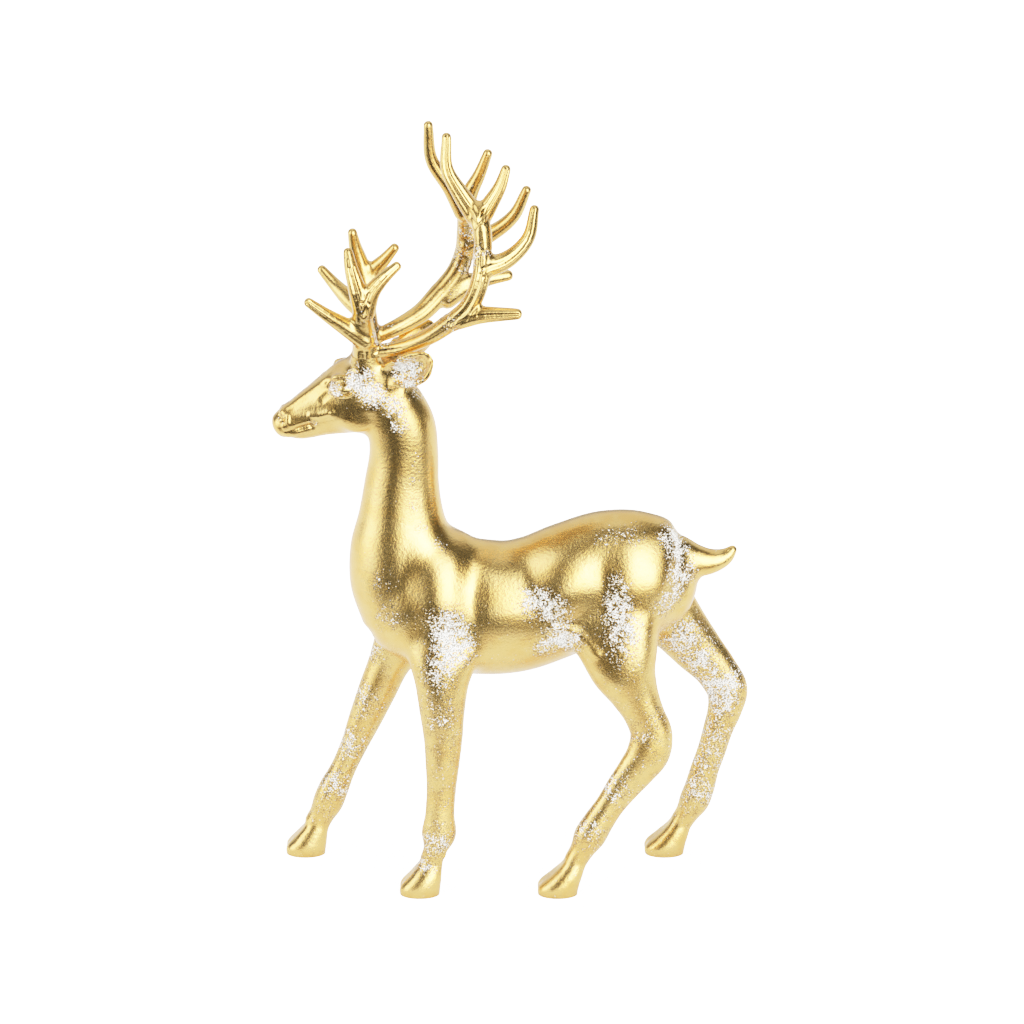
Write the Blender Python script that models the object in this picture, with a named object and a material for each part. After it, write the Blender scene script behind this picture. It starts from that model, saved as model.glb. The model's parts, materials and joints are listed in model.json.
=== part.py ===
"""Gilded resin stag figurine: one cast body and two glued antlers, standing on four cloven hooves.

The stag faces -X and its left side is -Y. Its pose and proportions are written in thousandths of
its own height, measured from the soles.
"""
import math

import bmesh
import bpy
import numpy as np
from mathutils import Matrix, Vector

for old in list(bpy.data.objects):
    bpy.data.objects.remove(old, do_unlink=True)

# Sizes in metres
HEIGHT = 0.420
SEAM_GAP = 0.0003
BODY_GRAIN = 0.0014
ANTLER_GRAIN = 0.0009

# Surface detail
BODY_TRIANGLES = 6800
ANTLER_TRIANGLES = 1500
RING_SIDES = 20
RING_STEP = 6.0
CREASE_ROUNDS = 40

# Thousandths of the height
UNIT = HEIGHT / 1000.0
SEAT_LEVEL = 717.0
SEAT_MARGIN = 6.0
SEAT_CLEARANCE = 40.0
EAR_CUP = 1.4

# Hooves and dewclaws, also in thousandths
SOLE_DEPTH = 6.0
TOE_LENGTH = 53.0
TOE_WIDTH = 32.0
TOE_SPREAD = 7.0
CORONET_SPREAD = 5.0
PASTERN_SPREAD = 4.0
CORONET_LEVEL = 40.0
CLAW_LEVEL = 64.0
CLAW_DROP = 11.0
CLAW_BACK = 12.0
CLAW_SPREAD = 7.0

# Trunk, from brisket to rump: x, y, z of the middle, half height, half width
TRUNK = (
    (-160, 0, 404, 52, 40),
    (-140, 0, 395, 78, 54),
    (-108, 0, 388, 95, 60),
    (-60, 0, 376, 91, 60),
    (0, 0, 374, 88, 58),
    (40, 0, 386, 85, 57),
    (80, 0, 404, 84, 57),
    (121, 0, 413, 89, 58),
    (161, 0, 413, 87, 54),
    (192, 0, 408, 74, 46),
    (206, 0, 406, 56, 34),
)

# Neck, from the chest up to the skull
NECK = (
    (-119, 0, 372, 72, 52),
    (-131, 0, 421, 74, 50),
    (-137, 0, 462, 66, 45),
    (-138, 0, 500, 54, 38),
    (-137, 0, 540, 47, 34),
    (-134, 0, 583, 43, 33),
    (-137, 0, 619, 42, 34),
    (-147, 0, 650, 37, 34),
)

# Head, from the nape to the nose
HEAD = (
    (-143, 0, 664, 34, 30),
    (-166, 0, 664, 46, 37),
    (-193, -1, 657, 49, 37),
    (-218, -2, 647, 41, 30),
    (-241, -3, 637, 33, 24),
    (-262, -4, 628, 27, 20),
    (-276, -5, 624, 22, 18),
    (-283, -5, 621, 18, 16),
)

TAIL = (
    (206, 0, 445, 26, 22),
    (229, -1, 437, 22, 18),
    (252, -2, 437, 16, 14),
    (268, -3, 444, 11, 10),
    (277, -4, 454, 6, 6),
)

# Legs, from the trunk down to the coronet: x, y, z, half depth, half width
LEFT_FORELEG = (
    (-78, -22, 420, 44, 24),
    (-85, -38, 364, 48, 22),
    (-87, -47, 322, 44, 24),
    (-88, -51, 288, 34, 22),
    (-88, -53, 254, 29, 19),
    (-87, -53, 216, 25, 17),
    (-88, -54, 181, 22, 16),
    (-90, -54, 141, 19, 14),
    (-92, -55, 109, 19, 14),
    (-94, -55, 78, 22, 16),
    (-99, -56, 58, 15, 14),
    (-104, -56, 42, 15, 14),
)
RIGHT_FORELEG = (
    (-98, 22, 412, 46, 24),
    (-119, 38, 354, 48, 22),
    (-139, 47, 310, 38, 24),
    (-157, 51, 274, 28, 20),
    (-174, 51, 233, 25, 18),
    (-189, 52, 195, 22, 16),
    (-205, 53, 155, 18, 14),
    (-220, 54, 120, 17, 14),
    (-233, 54, 91, 20, 15),
    (-241, 55, 70, 20, 16),
    (-249, 56, 53, 17, 14),
    (-256, 56, 40, 17, 14),
)
LEFT_HINDLEG = (
    (118, -18, 438, 62, 26),
    (121, -30, 392, 70, 24),
    (133, -44, 337, 52, 26),
    (141, -50, 306, 42, 24),
    (153, -51, 278, 32, 20),
    (167, -52, 247, 26, 17),
    (176, -52, 221, 27, 16),
    (173, -53, 196, 28, 16),
    (158, -54, 171, 25, 14),
    (141, -54, 147, 22, 13),
    (124, -55, 121, 19, 13),
    (110, -55, 98, 20, 15),
    (99, -56, 78, 21, 16),
    (89, -56, 58, 16, 14),
    (80, -57, 42, 15, 14),
)
RIGHT_HINDLEG = (
    (138, 18, 438, 60, 26),
    (160, 30, 396, 66, 24),
    (190, 42, 355, 46, 26),
    (214, 46, 324, 38, 24),
    (238, 48, 293, 33, 20),
    (263, 49, 262, 28, 17),
    (277, 49, 235, 27, 16),
    (275, 50, 209, 23, 15),
    (267, 50, 181, 20, 14),
    (259, 51, 149, 19, 13),
    (250, 52, 119, 19, 13),
    (244, 53, 93, 20, 15),
    (237, 54, 72, 20, 16),
    (229, 55, 56, 16, 14),
    (221, 56, 42, 15, 14),
)

# Hooves: x and y of the sole, x and y of the coronet
HOOVES = (
    (-118, -57, -104, -56),
    (-270, 57, -255, 56),
    (59, -57, 79, -57),
    (200, 57, 219, 56),
)

# Ears: root to tip as x, y, z, half cup depth, half width, on the left side
EAR = (
    (-158, -27, 687, 8, 10),
    (-145, -38, 697, 10, 17),
    (-128, -50, 706, 11, 21),
    (-111, -60, 718, 10, 19),
    (-102, -65, 728, 7, 11),
)

# Pedicles: skull to antler seat as x, y, z, half depth, half width, on the left side
PEDICLE = (
    (-171, -18, 684, 24, 16),
    (-177, -20, 702, 20, 15),
    (-179, -22, SEAT_LEVEL + SEAT_MARGIN, 18, 14),
)

# Rounded masses of the face: x, y, z of the middle and the three half sizes, on the left side
FACE = (
    (-203, -31, 677, 10, 6, 7),
    (-204, -27, 689, 18, 8, 7),
    (-190, -22, 640, 30, 15, 24),
    (-279, -11, 628, 7, 7, 8),
)

# Antler branches: points along the middle as x, y, z, then the thickness at the root and the tip
LEFT_BRANCHES = (
    ((-178, -22, 700), (-179, -28, 739), (-181, -43, 775), (-178, -50, 796), 17, 11),
    ((-178, -34, 742), (-202, -44, 762), (-222, -54, 779), (-245, -62, 799), 14, 6),
    ((-180, -44, 784), (-188, -50, 817), (-194, -47, 840), (-197, -41, 856), 13, 6),
    ((-178, -46, 780), (-168, -47, 808), (-154, -44, 824), (-138, -38, 837), 13, 6),
    ((-175, -24, 722), (-134, -34, 732), (-99, -50, 752), (-73, -62, 774), 8, 12),
    ((-73, -63, 773), (-52, -68, 795), (-37, -68, 833), (-35, -60, 866), 12, 11),
    ((-34, -60, 866), (-36, -52, 888), (-40, -44, 902), (-42, -38, 908), 11, 12),
    ((-66, -65, 778), (-38, -72, 786), (-14, -75, 788), (7, -77, 789), 13, 7),
    ((-36, -62, 842), (-8, -58, 850), (19, -50, 875), (27, -39, 909), 14, 6),
    ((-40, -40, 892), (-26, -38, 915), (-14, -35, 936), (-7, -33, 957), 13, 6),
    ((-41, -38, 896), (-62, -34, 927), (-77, -30, 954), (-78, -27, 995), 13, 6),
)
RIGHT_BRANCHES = (
    ((-178, 22, 700), (-179, 28, 739), (-182, 42, 773), (-180, 50, 798), 17, 11),
    ((-179, 36, 752), (-202, 46, 768), (-218, 55, 782), (-235, 62, 800), 14, 6),
    ((-180, 45, 788), (-187, 46, 816), (-192, 43, 836), (-195, 39, 855), 13, 6),
    ((-178, 46, 784), (-168, 46, 805), (-156, 42, 819), (-143, 37, 836), 13, 6),
    ((-175, 24, 722), (-138, 34, 736), (-112, 48, 748), (-87, 61, 771), 9, 14),
    ((-87, 61, 770), (-68, 66, 795), (-58, 66, 823), (-56, 60, 851), 14, 12),
    ((-56, 60, 851), (-56, 50, 875), (-58, 42, 891), (-60, 38, 900), 12, 11),
    ((-82, 64, 762), (-50, 70, 780), (-28, 74, 784), (-4, 77, 787), 15, 7),
    ((-56, 62, 832), (-33, 58, 843), (2, 48, 873), (18, 39, 909), 14, 6),
    ((-59, 42, 880), (-51, 40, 905), (-40, 36, 928), (-29, 33, 957), 13, 6),
    ((-58, 40, 880), (-74, 36, 911), (-97, 32, 948), (-101, 27, 994), 13, 6),
)


def smooth_rows(rows, step):
    """Rows on a smooth curve through the given rows, about one step apart along it."""
    rows = np.array(rows, float)
    gaps = np.linalg.norm(np.diff(rows[:, :3], axis=0), axis=1)
    where = np.concatenate(([0.0], np.cumsum(gaps)))
    slopes = np.gradient(rows, where, axis=0)
    count = max(4, int(where[-1] / step) + 1)
    result = []
    for at in np.linspace(0.0, where[-1], count):
        i = min(np.searchsorted(where, at, side="right") - 1, len(rows) - 2)
        span = gaps[i]
        t = (at - where[i]) / span
        start = rows[i] * (1 + 2 * t) * (1 - t) ** 2 + slopes[i] * span * t * (1 - t) ** 2
        end = rows[i + 1] * t * t * (3 - 2 * t) + slopes[i + 1] * span * t * t * (t - 1)
        result.append(start + end)
    return np.array(result)


def ring_points(centre, along, side, deep, wide, cup):
    """One closed ring square to its path; a cup above 0 presses its upper half inward."""
    across = (side - along * side.dot(along)).normalized()
    up = across.cross(along)
    points = []
    for k in range(RING_SIDES):
        angle = math.tau * k / RING_SIDES
        lift = math.cos(angle)
        if lift > 0.0:
            lift *= 1.0 - cup
        points.append(centre + up * (deep * lift) + across * (wide * math.sin(angle)))
    return points


def loft(bm, rows, side=(0, 1, 0), along=None, cup=0.0, step=RING_STEP, round_ends=True):
    """A closed skin over the rings of a path, with rounded or flat ends."""
    rows = smooth_rows(rows, step)
    side = Vector(side)
    middles = rows[:, :3]
    ways = np.gradient(middles, axis=0)
    rings = []
    for middle, way, deep, wide in zip(middles, ways, rows[:, 3], rows[:, 4]):
        direction = Vector(along) if along else Vector(way).normalized()
        rings.append((Vector(middle), direction, deep, wide))
    if round_ends:
        rings = end_cap(rings[0], -1.0)[::-1] + rings + end_cap(rings[-1], 1.0)
    loops = []
    for middle, direction, deep, wide in rings:
        points = ring_points(middle, direction, side, deep, wide, cup)
        loops.append([bm.verts.new(point) for point in points])
    for lower, upper in zip(loops, loops[1:]):
        for k in range(RING_SIDES):
            n = (k + 1) % RING_SIDES
            bm.faces.new((lower[k], lower[n], upper[n], upper[k]))
    bm.faces.new(loops[0][::-1])
    bm.faces.new(loops[-1])


def end_cap(ring, way):
    """Shrinking rings that round off the end of a path."""
    middle, direction, deep, wide = ring
    reach = 0.8 * min(deep, wide)
    rings = []
    for turn in (30, 55, 75, 86):
        lean = math.radians(turn)
        shift = direction * (way * reach * math.sin(lean))
        rings.append((middle + shift, direction, deep * math.cos(lean), wide * math.cos(lean)))
    return rings


def ball(bm, x, y, z, long, wide, high):
    """A closed ellipsoid with its three half sizes along the axes."""
    place = Matrix.LocRotScale(Vector((x, y, z)), None, Vector((long, wide, high)))
    bmesh.ops.create_uvsphere(bm, u_segments=16, v_segments=10, radius=1.0, matrix=place)


def branch(bm, first, second, third, last, thick, thin):
    """One antler branch, tapering from its root to its rounded tip."""
    points = (first, second, third, last)
    rows = []
    for share, point in zip((0.0, 0.36, 0.7, 1.0), points):
        radius = thin + (thick - thin) * (1.0 - share)
        rows.append((*point, radius, radius))
    loft(bm, rows, side=(0.25, 1.0, 0.1), step=4.0)


def hoof(bm, sole_x, sole_y, top_x, top_y):
    """Two toes side by side, each wider at the sole than at the coronet, and two dewclaws."""
    long = TOE_LENGTH / 2
    wide = TOE_WIDTH / 2
    for way in (-1.0, 1.0):
        toe_y = sole_y + TOE_SPREAD * way
        coronet_y = top_y + CORONET_SPREAD * way
        pastern_y = top_y + PASTERN_SPREAD * way
        rows = (
            (sole_x, toe_y, -SOLE_DEPTH, long * 0.92, wide * 0.9),
            (sole_x, toe_y, CORONET_LEVEL * 0.2, long, wide),
            ((sole_x + top_x) / 2, toe_y, CORONET_LEVEL * 0.6, long * 0.8, wide * 0.8),
            (top_x, coronet_y, CORONET_LEVEL, long * 0.59, wide * 0.62),
            (top_x + 4.0, pastern_y, CORONET_LEVEL * 1.25, long * 0.49, wide * 0.5),
        )
        loft(bm, rows, along=(0, 0, 1), step=4.0, round_ends=False)
        claw_x = top_x + CLAW_BACK
        claw_y = top_y + CLAW_SPREAD * way
        claw = (
            (claw_x, claw_y, CLAW_LEVEL, 6, 5),
            (claw_x + 5.0, claw_y, CLAW_LEVEL - CLAW_DROP, 4, 4),
        )
        loft(bm, claw, step=3.0)


def shell_object(name, build, grain):
    """Builds overlapping closed skins and merges them into one closed surface."""
    bm = bmesh.new()
    build(bm)
    bmesh.ops.scale(bm, vec=(UNIT, UNIT, UNIT), verts=bm.verts)
    bmesh.ops.recalc_face_normals(bm, faces=bm.faces)
    mesh = bpy.data.meshes.new(name)
    bm.to_mesh(mesh)
    bm.free()
    thing = bpy.data.objects.new(name, mesh)
    bpy.context.collection.objects.link(thing)
    remesh = thing.modifiers.new("merge", "REMESH")
    remesh.mode = "VOXEL"
    remesh.voxel_size = grain
    settle(thing)
    return thing


def settle(thing):
    """Replaces an object's mesh by what its modifiers make of it."""
    graph = bpy.context.evaluated_depsgraph_get()
    mesh = bpy.data.meshes.new_from_object(thing.evaluated_get(graph))
    thing.modifiers.clear()
    thing.data = mesh


def fill_creases(thing, rounds):
    """Raises the vertices of concave creases, so that limbs run into the trunk in soft fillets."""
    mesh = thing.data
    count = len(mesh.vertices)
    points = np.empty(count * 3)
    mesh.vertices.foreach_get("co", points)
    points = points.reshape(-1, 3)
    ends = np.empty(len(mesh.edges) * 2, int)
    mesh.edges.foreach_get("vertices", ends)
    ends = ends.reshape(-1, 2)
    degree = np.bincount(ends.ravel(), minlength=count)[:, None]
    normals = np.empty(count * 3)
    for turn in range(rounds):
        mesh.vertices.foreach_set("co", points.ravel())
        mesh.update()
        mesh.vertex_normals.foreach_get("vector", normals)
        outward = normals.reshape(-1, 3)
        total = np.zeros_like(points)
        for axis in range(3):
            total[:, axis] += np.bincount(ends[:, 0], points[ends[:, 1], axis], count)
            total[:, axis] += np.bincount(ends[:, 1], points[ends[:, 0], axis], count)
        pull = total / degree - points
        rise = (pull * outward).sum(axis=1, keepdims=True)
        share = np.where(rise > 0.0, 0.9, 0.25 if turn < 4 else 0.0)
        points = points + pull * share
    mesh.vertices.foreach_set("co", points.ravel())
    mesh.update()


def thin_out(thing, triangles):
    """Keeps about the given number of triangles, where the form needs them most."""
    faces = sum(len(face.vertices) - 2 for face in thing.data.polygons)
    decimate = thing.modifiers.new("facets", "DECIMATE")
    decimate.ratio = triangles / faces
    decimate.use_collapse_triangulate = True
    settle(thing)


def cut_flat(thing, level, keep_above):
    """Cuts the object off flat at a level and closes the cut."""
    bm = bmesh.new()
    bm.from_mesh(thing.data)
    cut = bmesh.ops.bisect_plane(
        bm,
        geom=bm.verts[:] + bm.edges[:] + bm.faces[:],
        plane_co=(0, 0, level),
        plane_no=(0, 0, 1),
        clear_inner=keep_above,
        clear_outer=not keep_above,
    )
    edges = [item for item in cut["geom_cut"] if isinstance(item, bmesh.types.BMEdge)]
    bmesh.ops.edgenet_fill(bm, edges=edges)
    bmesh.ops.recalc_face_normals(bm, faces=bm.faces)
    bm.to_mesh(thing.data)
    bm.free()


def build_body(bm):
    loft(bm, TRUNK)
    loft(bm, NECK)
    loft(bm, HEAD)
    loft(bm, TAIL)
    for leg in (LEFT_FORELEG, RIGHT_FORELEG, LEFT_HINDLEG, RIGHT_HINDLEG):
        loft(bm, leg)
    for places in HOOVES:
        hoof(bm, *places)
    for way in (1.0, -1.0):
        rows = [(x, y * way, z, deep, wide) for x, y, z, deep, wide in EAR]
        loft(bm, rows, side=(0.45 * way, -0.2, -0.9 * way), cup=EAR_CUP, step=3.0)
        rows = [(x, y * way, z, deep, wide) for x, y, z, deep, wide in PEDICLE]
        loft(bm, rows, step=3.0)
        for x, y, z, long, wide, high in FACE:
            ball(bm, x, y * way, z, long, wide, high)


def build_left_antler(bm):
    for row in LEFT_BRANCHES:
        branch(bm, *row)


def build_right_antler(bm):
    for row in RIGHT_BRANCHES:
        branch(bm, *row)


def finish_material(name, colour, roughness, metallic):
    material = bpy.data.materials.new(name)
    material.use_nodes = True
    shader = material.node_tree.nodes["Principled BSDF"]
    shader.inputs["Base Color"].default_value = (*colour, 1.0)
    shader.inputs["Roughness"].default_value = roughness
    shader.inputs["Metallic"].default_value = metallic
    return material


def make_body():
    """The body in one piece, with flat soles and a flat seat for each antler."""
    thing = shell_object("deer_body", build_body, BODY_GRAIN)
    fill_creases(thing, CREASE_ROUNDS)
    thin_out(thing, BODY_TRIANGLES)
    cut_flat(thing, 0.0, True)
    seat_x, seat_y, _, deep, _ = PEDICLE[-1]
    for way in (1.0, -1.0):
        bpy.ops.mesh.primitive_cylinder_add(
            vertices=24,
            radius=(deep + SEAT_MARGIN) * UNIT,
            depth=SEAT_CLEARANCE * UNIT,
            location=(seat_x * UNIT, seat_y * way * UNIT, (SEAT_LEVEL + SEAT_CLEARANCE / 2) * UNIT),
        )
        cutter = bpy.context.object
        cutter.hide_render = True
        cutter.display_type = "WIRE"
        seat = thing.modifiers.new("seat", "BOOLEAN")
        seat.operation = "DIFFERENCE"
        seat.object = cutter
        settle(thing)
        bpy.data.objects.remove(cutter, do_unlink=True)
    return thing


def make_antler(name, build):
    """An antler whose foot is cut flat, one seam gap above its seat."""
    thing = shell_object(name, build, ANTLER_GRAIN)
    fill_creases(thing, CREASE_ROUNDS)
    thin_out(thing, ANTLER_TRIANGLES)
    cut_flat(thing, SEAT_LEVEL * UNIT + SEAM_GAP, True)
    return thing


body = make_body()
body.data.materials.append(finish_material("gold_leaf_body", (0.80, 0.60, 0.22), 0.34, 0.85))
left = make_antler("left_antler", build_left_antler)
left.data.materials.append(finish_material("gold_leaf_left", (0.82, 0.62, 0.23), 0.30, 0.90))
right = make_antler("right_antler", build_right_antler)
right.data.materials.append(finish_material("gold_leaf_right", (0.82, 0.62, 0.23), 0.30, 0.90))

corners = [body.matrix_world @ Vector(corner) for corner in body.bound_box]
for antler in (left, right):
    corners += [antler.matrix_world @ Vector(corner) for corner in antler.bound_box]
middle_x = (min(c.x for c in corners) + max(c.x for c in corners)) / 2
middle_y = (min(c.y for c in corners) + max(c.y for c in corners)) / 2
for thing in (body, left, right):
    thing.data.transform(Matrix.Translation((-middle_x, -middle_y, 0.0)))
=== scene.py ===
# %% [markdown]
# # A gilded resin stag
# The real object is a stag about 42 cm tall, cast in white resin and covered with gold leaf that
# has been rubbed through in places. The body is one casting and the two antlers are glued on.
# This notebook loads the packed model as its frame, builds a finer skin for each casting, carves
# the face, the muscles and the hooves into it, and then lays the worn leaf over it as a material.

# %% Loading the packed stag
import json
import math

import bmesh
import bpy
import numpy as np
from mathutils import Matrix, Vector

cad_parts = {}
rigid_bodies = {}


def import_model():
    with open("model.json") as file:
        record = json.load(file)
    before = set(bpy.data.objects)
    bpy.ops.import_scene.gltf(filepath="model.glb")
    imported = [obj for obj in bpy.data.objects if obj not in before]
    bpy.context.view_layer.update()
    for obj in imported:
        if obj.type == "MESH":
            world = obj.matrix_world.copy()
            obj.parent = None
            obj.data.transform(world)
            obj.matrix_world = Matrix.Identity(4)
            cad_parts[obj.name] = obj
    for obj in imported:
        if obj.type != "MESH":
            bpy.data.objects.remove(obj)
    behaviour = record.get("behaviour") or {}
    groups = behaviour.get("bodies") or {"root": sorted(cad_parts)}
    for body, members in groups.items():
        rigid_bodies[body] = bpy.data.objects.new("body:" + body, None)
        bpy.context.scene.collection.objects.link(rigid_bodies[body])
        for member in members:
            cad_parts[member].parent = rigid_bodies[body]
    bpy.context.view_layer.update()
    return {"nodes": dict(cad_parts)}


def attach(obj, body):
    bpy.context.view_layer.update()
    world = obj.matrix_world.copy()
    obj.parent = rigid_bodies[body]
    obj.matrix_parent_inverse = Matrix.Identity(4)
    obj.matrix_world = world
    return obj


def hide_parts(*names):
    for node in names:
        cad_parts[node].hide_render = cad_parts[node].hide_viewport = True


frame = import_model()
print("packed nodes:", sorted(frame["nodes"]))

# %% [markdown]
# The photographer stood square to the stag's left side, a little above it. A long lens from
# almost two metres keeps the four legs nearly parallel, as they are in the picture. A short lens
# close by would have spread the hooves apart, so the distance is set first and the lens follows.

# %% The camera
CAMERA_RISE = math.radians(22.0)
CAMERA_DISTANCE = 1.9013
CAMERA_LENS = 127.57
AIM = Vector((-0.00148, -0.00005, 0.21086))

eye = bpy.data.cameras.new("camera")
eye.lens = CAMERA_LENS
eye.sensor_width = 36.0
camera = bpy.data.objects.new("camera", eye)
back_off = Vector((0.0, -math.cos(CAMERA_RISE), math.sin(CAMERA_RISE))) * CAMERA_DISTANCE
camera.location = AIM + back_off
camera.rotation_euler = (math.pi / 2 - CAMERA_RISE, 0.0, 0.0)
bpy.context.collection.objects.link(camera)
bpy.context.scene.camera = camera
print("camera at", tuple(round(c, 3) for c in camera.location))

# %% [markdown]
# A sculptor measures a figure against its own height. So the pose is written in thousandths of
# the stag's height, counted up from the soles, and the finished skins are scaled to metres once.
# Each row gives a point on the middle line of a limb, then half its depth and half its width
# there. The rows are those of the packed model, because the skin has to fit it.

# %% The pose
HEIGHT = 0.420
UNIT = HEIGHT / 1000.0
MILLIMETRE = 0.001 / UNIT
MIDDLE = Vector((0.001476, 0.000049, 0.0))
SEAT_LEVEL = 717.0
SEAM_GAP = 0.3 * MILLIMETRE

TRUNK = (
    (-160, 0, 404, 52, 40),
    (-140, 0, 395, 78, 54),
    (-108, 0, 388, 95, 60),
    (-60, 0, 376, 91, 60),
    (0, 0, 374, 88, 58),
    (40, 0, 386, 85, 57),
    (80, 0, 404, 84, 57),
    (121, 0, 413, 89, 58),
    (161, 0, 413, 87, 54),
    (192, 0, 408, 74, 46),
    (206, 0, 406, 56, 34),
)
NECK = (
    (-119, 0, 372, 72, 52),
    (-131, 0, 421, 74, 50),
    (-137, 0, 462, 66, 45),
    (-138, 0, 500, 54, 38),
    (-137, 0, 540, 47, 34),
    (-134, 0, 583, 43, 33),
    (-137, 0, 619, 42, 34),
    (-147, 0, 650, 37, 34),
)
HEAD = (
    (-143, 0, 664, 34, 30),
    (-166, 0, 664, 46, 37),
    (-193, -1, 657, 49, 37),
    (-218, -2, 647, 41, 30),
    (-241, -3, 637, 33, 24),
    (-262, -4, 628, 27, 20),
    (-276, -5, 624, 22, 18),
    (-283, -5, 621, 18, 16),
)
TAIL = (
    (206, 0, 445, 26, 22),
    (229, -1, 437, 22, 18),
    (252, -2, 437, 16, 14),
    (268, -3, 444, 11, 10),
    (277, -4, 454, 6, 6),
)
LEFT_FORELEG = (
    (-78, -22, 420, 44, 24),
    (-85, -38, 364, 48, 22),
    (-87, -47, 322, 44, 24),
    (-88, -51, 288, 34, 22),
    (-88, -53, 254, 29, 19),
    (-87, -53, 216, 25, 17),
    (-88, -54, 181, 22, 16),
    (-90, -54, 141, 19, 14),
    (-92, -55, 109, 19, 14),
    (-94, -55, 78, 22, 16),
    (-99, -56, 58, 15, 14),
    (-104, -56, 42, 15, 14),
)
RIGHT_FORELEG = (
    (-98, 22, 412, 46, 24),
    (-119, 38, 354, 48, 22),
    (-139, 47, 310, 38, 24),
    (-157, 51, 274, 28, 20),
    (-174, 51, 233, 25, 18),
    (-189, 52, 195, 22, 16),
    (-205, 53, 155, 18, 14),
    (-220, 54, 120, 17, 14),
    (-233, 54, 91, 20, 15),
    (-241, 55, 70, 20, 16),
    (-249, 56, 53, 17, 14),
    (-256, 56, 40, 17, 14),
)
LEFT_HINDLEG = (
    (118, -18, 438, 62, 26),
    (121, -30, 392, 70, 24),
    (133, -44, 337, 52, 26),
    (141, -50, 306, 42, 24),
    (153, -51, 278, 32, 20),
    (167, -52, 247, 26, 17),
    (176, -52, 221, 27, 16),
    (173, -53, 196, 28, 16),
    (158, -54, 171, 25, 14),
    (141, -54, 147, 22, 13),
    (124, -55, 121, 19, 13),
    (110, -55, 98, 20, 15),
    (99, -56, 78, 21, 16),
    (89, -56, 58, 16, 14),
    (80, -57, 42, 15, 14),
)
RIGHT_HINDLEG = (
    (138, 18, 438, 60, 26),
    (160, 30, 396, 66, 24),
    (190, 42, 355, 46, 26),
    (214, 46, 324, 38, 24),
    (238, 48, 293, 33, 20),
    (263, 49, 262, 28, 17),
    (277, 49, 235, 27, 16),
    (275, 50, 209, 23, 15),
    (267, 50, 181, 20, 14),
    (259, 51, 149, 19, 13),
    (250, 52, 119, 19, 13),
    (244, 53, 93, 20, 15),
    (237, 54, 72, 20, 16),
    (229, 55, 56, 16, 14),
    (221, 56, 42, 15, 14),
)
print("one unit is", round(UNIT * 1000, 2), "mm")

# %% [markdown]
# Eight rows can't give a neck its line, so a curve is drawn through them first. A Hermite curve
# passes through every row and keeps its direction there, for the place and the thickness alike.

# %% A smooth line through the rows
def smooth_rows(rows, step):
    rows = np.array(rows, float)
    gaps = np.linalg.norm(np.diff(rows[:, :3], axis=0), axis=1)
    where = np.concatenate(([0.0], np.cumsum(gaps)))
    slopes = np.gradient(rows, where, axis=0)
    count = max(4, int(where[-1] / step) + 1)
    result = []
    for at in np.linspace(0.0, where[-1], count):
        i = min(np.searchsorted(where, at, side="right") - 1, len(rows) - 2)
        span = gaps[i]
        t = (at - where[i]) / span
        start = rows[i] * (1 + 2 * t) * (1 - t) ** 2 + slopes[i] * span * t * (1 - t) ** 2
        end = rows[i + 1] * t * t * (3 - 2 * t) + slopes[i + 1] * span * t * t * (t - 1)
        result.append(start + end)
    return np.array(result)


print("the neck has", len(NECK), "rows and", len(smooth_rows(NECK, 6.0)), "rings")

# %% [markdown]
# A limb is one circle, extruded again and again along its line. Each extrusion is laid into the
# next ring's place by a matrix that holds the ring's width, depth and direction. The first ring
# may be pressed out of round, and as every later ring is an extrusion of it, the whole limb then
# keeps that section. This is how the ears get their hollow.

# %% Extruding a limb ring by ring
RING_SIDES = 40
ROUND_TURNS = (30, 55, 75, 86)
ROUND_REACH = 0.8


def ring_place(middle, way, side, deep, wide):
    across = (side - way * side.dot(way)).normalized()
    up = across.cross(way)
    turn = Matrix((across * wide, up * deep, way)).transposed().to_4x4()
    return Matrix.Translation(middle) @ turn


def rounded_end(row, way, sign):
    reach = ROUND_REACH * min(row[3], row[4])
    rows = []
    for turn in ROUND_TURNS:
        lean = math.radians(turn)
        middle = Vector(row[:3]) + way * (sign * reach * math.sin(lean))
        rows.append((middle, way, row[3] * math.cos(lean), row[4] * math.cos(lean)))
    return rows


def limb(rows, side=(0, 1, 0), along=None, step=6.0, round_ends=True, press=None):
    rows = smooth_rows(rows, step)
    ways = np.gradient(rows[:, :3], axis=0)
    rings = []
    for row, way in zip(rows, ways):
        direction = Vector(along) if along else Vector(way).normalized()
        rings.append((Vector(row[:3]), direction, row[3], row[4]))
    if round_ends:
        first = rounded_end(rows[0], rings[0][1], -1.0)[::-1]
        rings = first + rings + rounded_end(rows[-1], rings[-1][1], 1.0)
    places = [ring_place(m, w, Vector(side), d, b) for m, w, d, b in rings]
    bm = bmesh.new()
    bmesh.ops.create_circle(bm, cap_ends=True, segments=RING_SIDES, radius=1.0)
    if press:
        for vert in bm.verts:
            vert.co = press(vert.co)
    bmesh.ops.transform(bm, matrix=places[0], verts=bm.verts)
    loop = list(bm.edges)
    for last, place in zip(places, places[1:]):
        made = bmesh.ops.extrude_edge_only(bm, edges=loop)["geom"]
        verts = [item for item in made if isinstance(item, bmesh.types.BMVert)]
        fresh = set(verts)
        loop = [e for v in verts for e in v.link_edges if e.other_vert(v) in fresh]
        loop = list(dict.fromkeys(loop))
        bmesh.ops.transform(bm, matrix=place @ last.inverted(), verts=verts)
    bmesh.ops.edgeloop_fill(bm, edges=loop)
    bmesh.ops.recalc_face_normals(bm, faces=bm.faces)
    return bm


trial = limb(TAIL)
print("the tail alone has", len(trial.faces), "faces")
trial.free()

# %% [markdown]
# The stag was modelled in clay before it was cast, so its limbs flow into each other without a
# seam. Overlapping closed skins give the masses, and a voxel remesh melts them into one closed
# surface. A Boolean union would do that too, but would leave hard creases and uneven faces.

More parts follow.
